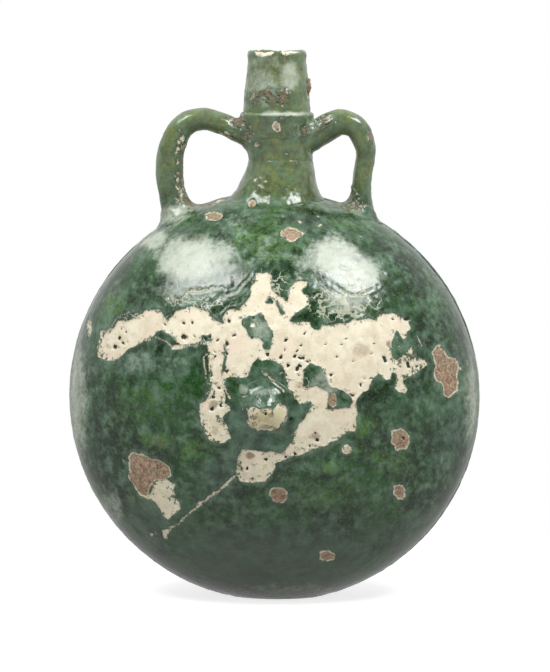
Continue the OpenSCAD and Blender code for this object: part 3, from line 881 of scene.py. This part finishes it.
def fired_clay(name, dark, pale, grit_mm, rough):
    """Unglazed fired clay or slip: matt, with grit of a real size."""
    material, tree = new_material(name)
    place = add(tree, "ShaderNodeTexCoord").outputs["Object"]
    patch = grain(tree, place, grit_mm * 6, 4.0)
    speck = grain(tree, place, grit_mm, 3.0, 0.6)
    colour = laid(tree, dark, patch, 0.35, 0.65, pale)
    colour = laid(tree, colour, speck, 0.6, 0.72, dark, 0.6)
    surfaced(tree, colour, rough, figure(tree, "MULTIPLY", speck, 0.25))
    return material


def belongs(piece, node, material):
    """Says which CAD node a piece stands for, and gives it its material."""
    piece.data.materials.clear()
    piece.data.materials.append(material)
    piece.data.shade_smooth()
    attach(piece, "root")
    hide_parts(node)


glaze = lead_glaze("copper_green_lead_glaze")
glossy_wear = lead_glaze("rubbed_glaze_on_slip", 0.22)
raw_slip = fired_clay("raw_cream_slip", "#c9b48f", "#e4d8b8", 0.5, 0.8)
scorched_grit = fired_clay("scorched_kiln_grit", "#6a543f", "#a68f73", 0.9, 0.4)


def worn_piece(piece, node, slot="green_glaze", material=glaze, **wear):
    """Weathers a piece, gives it its painted sheen, and says which CAD node it stands for."""
    weather_and_paint_sheen(piece, **wear)
    belongs(piece, node, material)


# The two thrown halves of the body, each with the hole that its button plugs

def shell_profile():
    outside = oval_line(GROOVE_HALF, PLUG_R, 0.0, SHELL_SPACING)
    inside = oval_line(SLIP_HALF, PLUG_R, WALL, 6.0)
    return [(BODY_R - GROOVE_DEPTH, SLIP_HALF)] + outside + inside[::-1]


def throwing_rings(mesh, height):
    """Faint ridges left by the potter's fingers, which circle each face's middle."""
    points = read_vectors(mesh.vertices, "co") / MM
    radius = np.hypot(points[:, 0], points[:, 2] - BODY_Z)
    ridge = np.sin(radius * 0.9 + 2.0 * np.sin(radius * 0.13))
    rise = height * ridge * soft(np.abs(points[:, 1]), 20.0, 50.0)
    points[:, 1] += np.sign(points[:, 1]) * rise
    move_points(mesh, points)


def thrown_shell(name, side):
    piece = make_piece(name, turned_on_body(shell_profile(), side, SHELL_STEPS))
    cut_away(piece, neck_hole())
    throwing_rings(piece.data, 0.06)
    return piece


for shell_side, shell_name in ((1, "front_shell"), (-1, "back_shell")):
    worn_piece(
        thrown_shell("thrown_" + shell_name, shell_side), shell_name,
        lump=0.35, lump_size=55.0, sides=(shell_side > 0, shell_side < 0),
    )

# The coil that closes the seam, thumbed flat, hardly proud of the shells
coil_edge = EDGE_X + math.sqrt(EDGE_R ** 2 - GROOVE_HALF ** 2)
COIL_PROFILE = [
    (BODY_R - 3.4, SLIP_HALF), (BODY_R - 3.4, -SLIP_HALF), (coil_edge - 0.1, -GROOVE_HALF),
    (BODY_R + 0.22, -1.6), (BODY_R + 0.32, -0.6), (BODY_R + 0.32, 0.6), (BODY_R + 0.22, 1.6),
    (coil_edge - 0.1, GROOVE_HALF),
]
seam_coil = make_piece("thumbed_seam_coil", turned_on_body(COIL_PROFILE, -1, 600))
cut_away(seam_coil, neck_hole())
worn_piece(seam_coil, "seam_coil", wear=-2.2, lump=0.14, lump_size=7.0)

# The slip between the rims keeps its CAD solid.
for material_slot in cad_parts["seam_slip"].material_slots:
    material_slot.material = raw_slip


# The neck

def smooth_line(points, spacing):
    """Points at an even spacing along a smooth curve through the given ones."""
    knots = [np.array(point, float) for point in points]
    knots = [2 * knots[0] - knots[1]] + knots + [2 * knots[-1] - knots[-2]]
    line = []
    for a, b, c, d in zip(knots, knots[1:], knots[2:], knots[3:]):
        steps = max(1, round(float(np.linalg.norm(c[:2] - b[:2])) / spacing))
        for step in range(steps):
            t = step / steps
            line.append(0.5 * (
                2 * b + (c - a) * t + (2 * a - 5 * b + 4 * c - d) * t ** 2
                + (3 * b - a - 3 * c + d) * t ** 3
            ))
    line.append(knots[-2])
    return [tuple(point) for point in line]


# The neck's outline, as radius and height, up its outside and down its bore
NECK_OUTSIDE = [
    (14.9, 191.0), (14.9, 200.0), (15.3, 208.0), (15.7, 214.0), (15.9, 218.0), (16.1, 223.0),
    (16.5, 229.0), (16.7, 236.0), (16.6, 243.0), (16.3, 248.0), (16.0, 253.0), (15.5, 258.0),
    (15.0, 263.0), (14.5, 267.5), (14.6, 270.0), (14.7, 271.5), (14.2, 272.7), (13.2, 273.1),
]
NECK_INSIDE = [(12.0, 272.6), (11.1, 271.2), (10.7, 268.0), (10.5, 250.0), (10.5, 191.0)]


def waist_shift(z):
    """How far the narrow part of the neck leans to the right at a height."""
    return WAIST_SHIFT * math.exp(-((z - WAIST_Z) / WAIST_SPREAD) ** 2)


def shape_neck(bm):
    """Leans and rings the neck as the photograph shows it, and chips its lip."""
    for vert in bm.verts:
        out = Vector((vert.co.x - NECK_X, vert.co.y, 0.0))
        if out.length > OUTSIDE_R:
            out.x += waist_shift(vert.co.z)
            ring = 0.035 * math.sin(vert.co.z * 1.55 + 0.6 * math.sin(vert.co.z * 0.4))
            out *= 1.0 + ring / 15.0
            vert.co.x, vert.co.y = NECK_X + out.x, out.y
        lip = max(0.0, min(1.0, (vert.co.z - LIP_Z) / LIP_HEIGHT))
        chips = noise.fractal(vert.co / 5.0 + Vector((4, 2, 7)), 0.8, 2.0, 3)
        wave = noise.noise(vert.co / 13.0 + Vector((1, 5, 2)))
        vert.co.z += lip * (0.45 * wave - 1.3 * max(0.0, chips - 0.10) - 0.25)


neck_profile = smooth_line(NECK_OUTSIDE, 0.7) + smooth_line(NECK_INSIDE, 1.6)
neck_bm = turned_on_neck(neck_profile, 220)
shape_neck(neck_bm)
worn_piece(
    make_piece("thrown_neck", neck_bm), "neck_tube",
    wear=-3.2, clay=0.6, lump=0.16, lump_size=6.0,
)

# The cordon: a ring of clay with a sharp upper ledge, smoothed into the neck below
CORDON_OUTSIDE = [
    (16.0, 228.2), (16.6, 229.6), (17.0, 231.5), (17.3, 234.0), (17.7, 237.0), (18.1, 239.3),
    (18.3, 240.4), (18.25, 241.2), (17.8, 241.9), (17.1, 242.3), (16.4, 242.5),
]
cordon_profile = smooth_line(CORDON_OUTSIDE, 0.45) + [(15.6, 242.2), (15.6, 228.8)]
worn_piece(
    make_piece("applied_cordon", turned_on_neck(cordon_profile, 220)),
    "neck_cordon", wear=-2.4, clay=0.6, lump=0.3, lump_size=7.0,
)

# The coil worked in round the neck's foot, from the waist down on to the shoulder. Its
# profile is given as radius and share of the way up.
ROOT_OUTSIDE = [
    (15.5, 1.03), (15.95, 1.0), (16.5, 0.82), (17.5, 0.60), (18.8, 0.40), (20.2, 0.23),
    (21.6, 0.11), (23.0, 0.035), (24.4, 0.0),
]


def seat_on_shoulder(bm, top_z, sink):
    """Turns heights given as a share into heights between the shoulder and top_z."""
    for vert in bm.verts:
        seat = body_top(vert.co.x, vert.co.y) - sink
        vert.co.z = seat + vert.co.z * (top_z - seat)


root_profile = smooth_line([(r, f * 20) for r, f in ROOT_OUTSIDE], 0.6)
root_profile = [(r, f / 20) for r, f in root_profile]
root_profile += [(23.0, -0.06), (15.0, -0.06), (15.0, 1.0)]
root_bm = turned_on_neck(root_profile, 220)
seat_on_shoulder(root_bm, ROOT_TOP, 0.12)
for vert in root_bm.verts:
    vert.co.x += waist_shift(vert.co.z)
worn_piece(
    make_piece("neck_root_coil", root_bm), "neck_root_coil",
    wear=-3.2, clay=0.6, lump=0.35, lump_size=9.0,
)


# The handles: coils bent along the lines seen in the photograph. Each point is
# (distance right of the middle, height, half thickness, half width).
LEFT_LINE = [
    (-8.0, 226.0, 4.6, 7.0), (-13.0, 229.4, 4.7, 7.2), (-18.5, 232.6, 5.2, 7.1),
    (-26.0, 236.6, 5.4, 6.9), (-37.0, 238.9, 5.6, 6.6), (-46.0, 234.6, 6.0, 6.6),
    (-51.3, 224.0, 6.6, 6.8), (-52.2, 213.5, 6.9, 6.9), (-51.0, 201.0, 6.4, 6.9),
    (-49.2, 187.6, 6.4, 7.2),
]
RIGHT_LINE = [
    (10.5, 223.6, 5.6, 7.0), (15.5, 227.4, 6.3, 7.4), (22.0, 231.6, 6.8, 7.2),
    (27.5, 235.4, 6.9, 7.0), (34.0, 237.4, 6.5, 6.7), (41.3, 234.2, 5.8, 6.5),
    (45.5, 224.8, 5.1, 6.4), (44.9, 215.5, 4.8, 6.4), (43.7, 206.0, 4.7, 6.5),
    (44.0, 196.0, 5.2, 6.8), (45.0, 188.8, 5.6, 7.0),
]


def coil_handle(name, line):
    stations = smooth_line(line, 1.3)
    frames = []
    for index, station in enumerate(stations):
        before = stations[max(index - 1, 0)]
        after = stations[min(index + 1, len(stations) - 1)]
        along = Vector((after[0] - before[0], 0.0, after[1] - before[1])).normalized()
        centre = Vector((station[0], 0.0, station[1]))
        frames.append(station_frame(centre, along, station[2], station[3]))
    return make_piece(name, swept(frames, 64))


HANDLE_WEAR = {"wear": -2.4, "clay": 0.7, "lump": 0.32, "lump_size": 8.0}
worn_piece(coil_handle("left_coil_handle", LEFT_LINE), "left_handle", **HANDLE_WEAR)
worn_piece(coil_handle("right_coil_handle", RIGHT_LINE), "right_handle", **HANDLE_WEAR)

# The wads that lute the handles on, each smeared out to a thin edge: share of the way
# out, and share of the height left there
WAD_SHARES = [
    (0.0, 1.0), (0.04, 0.80), (0.12, 0.58), (0.24, 0.38), (0.40, 0.21), (0.60, 0.09),
    (0.82, 0.025), (1.0, 0.0),
]


def wad_skirt(sink):
    """A ring of clay round a handle's end, whose radius is 1, with its heights in shares."""
    profile = [(1.0 + share, up) for share, up in smooth_line(WAD_SHARES, 0.05)]
    return turned_on_neck(profile + [(1.9, -sink), (0.0, -sink), (0.0, 1.0)], 96, x=0.0)


def skirt_place(co):
    """Which way a skirt's point lies, how far out in its ring, and how far past that."""
    flat = Vector((co.x, co.y, 0.0))
    out = flat.length
    way = flat / out if out > 1e-5 else Vector((1.0, 0.0, 0.0))
    return way, min(out, 1.0), max(out - 1.0, 0.0)


def finished_wad(name, bm):
    bmesh.ops.recalc_face_normals(bm, faces=bm.faces)
    return make_piece(name, bm)


def shoulder_wad(name, cx, lean, half_t, half_w, reach_in, reach_out, top):
    """A skirt of clay from round a handle's foot on to the shoulder."""
    toward = -math.copysign(1.0, cx)
    bm = wad_skirt(0.12)
    for vert in bm.verts:
        way, inner, spread = skirt_place(vert.co)
        inward = 0.5 + 0.5 * way.x * toward
        reach = reach_out + (reach_in - reach_out) * inward ** 1.5
        height = top * (0.75 + 0.5 * inward) * vert.co.z
        x = cx + way.x * (inner * half_t + spread * reach) + lean * height
        y = way.y * (inner * half_w + spread * reach)
        vert.co = Vector((x, y, body_top(x, y) - 0.15 + height))
    return finished_wad(name, bm)


worn_piece(
    shoulder_wad("left_shoulder_wad", -49.6, -0.12, 6.2, 6.7, 9.5, 4.5, 10.0),
    "left_shoulder_wad", "worn_clay", wear=-1.6, clay=0.5, lump=0.4, lump_size=6.0,
)
worn_piece(
    shoulder_wad("right_shoulder_wad", 44.8, -0.10, 5.1, 6.4, 9.0, 4.5, 9.0),
    "right_shoulder_wad", "worn_clay", wear=-1.6, clay=0.6, lump=0.4, lump_size=6.0,
)


def neck_radius(z):
    """The neck's radius at a height, with its cordon."""
    heights, radii = zip(*[(h, r) for r, h in NECK_OUTSIDE[:15]])
    ledge, reach = zip(*[(h, r) for r, h in CORDON_OUTSIDE])
    on_neck = float(np.interp(z, heights, radii))
    return max(on_neck, float(np.interp(z, ledge, reach, left=0.0, right=0.0)))


def neck_wad(name, side, z, slope, half_t, half_w, reach, top):
    """A skirt of clay from round a handle's upper end on to the neck."""
    bm = wad_skirt(0.3)
    for vert in bm.verts:
        way, inner, spread = skirt_place(vert.co)
        rise = vert.co.z * top
        y = way.y * (inner * half_w + spread * reach)
        up = way.x * (inner * half_t + spread * reach * 1.3)
        seat = math.sqrt(max(neck_radius(z + up) ** 2 - y * y, 0.0)) - 0.35
        seat += side * waist_shift(z + up)
        vert.co = Vector((NECK_X + side * (seat + rise), y, z + up + slope * rise))
    return finished_wad(name, bm)


worn_piece(
    neck_wad("left_neck_wad", -1, 230.8, 0.6, 5.7, 7.2, 4.6, 6.0),
    "left_neck_wad", "worn_clay", wear=-2.0, clay=0.6, lump=0.4, lump_size=6.0,
)
worn_piece(
    neck_wad("right_neck_wad", 1, 230.2, 0.6, 6.6, 7.2, 3.8, 5.0),
    "right_neck_wad", "worn_clay", wear=-2.0, clay=0.6, lump=0.4, lump_size=6.0,
)

# The buttons that close the middle of each face, as radius and height off the face
BUTTON_OUTSIDE = [
    (0.0, 8.5), (1.6, 8.32), (3.2, 7.74), (4.8, 6.78), (6.2, 5.7), (7.6, 4.45), (8.9, 3.1),
    (10.1, 1.9), (11.2, 1.0), (12.4, 0.4), (13.6, 0.1), (14.8, 0.0),
]


def button(name, side, raised):
    """A knob thumbed on to the middle of a face, its edge smeared into the shell."""
    profile = []
    for radius, height in smooth_line(BUTTON_OUTSIDE, 0.4):
        reach = math.sqrt(FACE_R ** 2 - radius ** 2) + FACE_Y
        profile.append((max(radius, 0.0), reach + height - 0.1))
    shoulder = HALF_DEPTH - 1.6
    plug_r = PLUG_R - 0.1
    profile += [(13.5, shoulder), (plug_r, shoulder), (plug_r, PLUG_END), (0.0, PLUG_END)]
    bm = turned_on_body(profile, side, 144)
    bmesh.ops.translate(bm, vec=(0, 0, raised), verts=[
        v for v in bm.verts if abs(v.co.y) > HALF_DEPTH - 1.0
    ])
    return make_piece(name, bm)


worn_piece(
    button("front_button", 1, 0.6), "front_boss", "worn_slip", glossy_wear,
    wear=-2.6, clay=0.45, lump=0.12, lump_size=9.0, sides=(True, False),
)
worn_piece(
    button("back_button", -1, 0.0), "back_boss",
    wear=-1.6, clay=0.5, lump=0.4, lump_size=7.0, sides=(False, True),
)

# The lump of kiln grit stuck to the right of the neck
scar_bm = bmesh.new()
bmesh.ops.create_icosphere(scar_bm, subdivisions=4, radius=4.2)
bmesh.ops.scale(scar_bm, vec=(0.5, 0.9, 1.0), verts=scar_bm.verts)
for vert in scar_bm.verts:
    vert.co *= 1.0 + 0.28 * noise.fractal(vert.co / 2.2, 0.8, 2.0, 3)
bmesh.ops.translate(scar_bm, vec=(NECK_X + 14.9, -0.5, 255.5), verts=scar_bm.verts)
scar = make_piece("kiln_grit_lump", scar_bm)
belongs(scar, "kiln_scar", scorched_grit)


# The floor, the light and the camera

WHITE = (1, 1, 1, 1)
FLOOR_GLOW = 0.62
FLOOR_MIRRORED = 0.55
SKY_LEVEL = 0.45

def white_floor():
    """A white floor that shows as pure white except close under the flask."""
    material, tree = new_material("white_studio_floor")
    place = add(tree, "ShaderNodeTexCoord").outputs["Object"]
    away = add(tree, "ShaderNodeVectorMath", {0: place}, operation="LENGTH")
    near = stepped(tree, away.outputs["Value"], 0.08, 0.30, 0.6, 0.0)
    diffuse = add(tree, "ShaderNodeBsdfDiffuse", {"Color": linear("#f4f4f2")})
    glow = add(tree, "ShaderNodeEmission", {"Color": WHITE, "Strength": FLOOR_GLOW})
    full = add(tree, "ShaderNodeEmission", {"Color": WHITE, "Strength": 1.0})
    lit = add(tree, "ShaderNodeAddShader", {0: glow.outputs[0], 1: diffuse.outputs[0]})
    seen = add(tree, "ShaderNodeMixShader", {0: near, 1: full.outputs[0], 2: lit.outputs[0]})
    path = add(tree, "ShaderNodeLightPath")
    dim = add(tree, "ShaderNodeBsdfDiffuse", {"Color": linear("#bdbdba")})
    half = add(tree, "ShaderNodeEmission", {"Color": WHITE, "Strength": FLOOR_MIRRORED})
    other = add(tree, "ShaderNodeMixShader", {
        0: path.outputs["Is Glossy Ray"], 1: dim.outputs[0], 2: half.outputs[0],
    })
    whole = add(tree, "ShaderNodeMixShader", {
        0: path.outputs["Is Camera Ray"], 1: other.outputs[0], 2: seen.outputs[0],
    })
    add(tree, "ShaderNodeOutputMaterial", {"Surface": whole.outputs[0]})
    return material


floor_bm = bmesh.new()
bmesh.ops.create_grid(floor_bm, x_segments=1, y_segments=1, size=12000.0)
floor = make_piece("studio_floor", floor_bm)
floor.data.materials.append(white_floor())

world = bpy.data.worlds.new("white_studio")
world.use_nodes = True
bpy.context.scene.world = world
sky = world.node_tree
sky.nodes.clear()
path = add(sky, "ShaderNodeLightPath")
shown = figure(
    sky, "MAXIMUM", path.outputs["Is Camera Ray"], path.outputs["Is Transmission Ray"],
)
way = add(sky, "ShaderNodeTexCoord").outputs["Generated"]
depthways = add(sky, "ShaderNodeSeparateXYZ", {0: way}).outputs["Y"]
mirrored = stepped(sky, depthways, -0.8, 0.4, 0.10, 0.85)
level = mixed(sky, shown, mixed(sky, path.outputs["Is Glossy Ray"], SKY_LEVEL, mirrored), 1.0)
backdrop = add(sky, "ShaderNodeBackground", {"Color": WHITE, "Strength": level})
add(sky, "ShaderNodeOutputWorld", {"Surface": backdrop.outputs[0]})


def soft_box(name, place, aim, width, height, power):
    data = bpy.data.lights.new(name, "AREA")
    data.shape = "RECTANGLE"
    data.size, data.size_y = width, height
    data.energy = power
    lamp = bpy.data.objects.new(name, data)
    lamp.location = place
    lamp.rotation_euler = (Vector(aim) - Vector(place)).to_track_quat("-Z", "Y").to_euler()
    bpy.context.scene.collection.objects.link(lamp)


LAMP_AIM = (0, 0, 0.13)
soft_box("left_soft_box", (-0.74, -0.56, 1.35), LAMP_AIM, 0.66, 0.50, 12.5)
soft_box("right_soft_box", (0.74, -0.52, 1.35), LAMP_AIM, 0.60, 0.50, 15.5)

camera_data = bpy.data.cameras.new("photo_camera")
camera_data.sensor_fit = "AUTO"
camera_data.sensor_width = SENSOR
camera_data.lens = CAMERA_LENS
camera = bpy.data.objects.new("photo_camera", camera_data)
camera_way = Vector(CAMERA_BACK)
camera.location = (CAMERA_AIM + camera_way * CAMERA_DISTANCE) * MM
camera.rotation_euler = (-camera_way).to_track_quat("-Z", "Y").to_euler()
bpy.context.scene.collection.objects.link(camera)
bpy.context.scene.camera = camera
bpy.context.scene.view_settings.view_transform = "Standard"
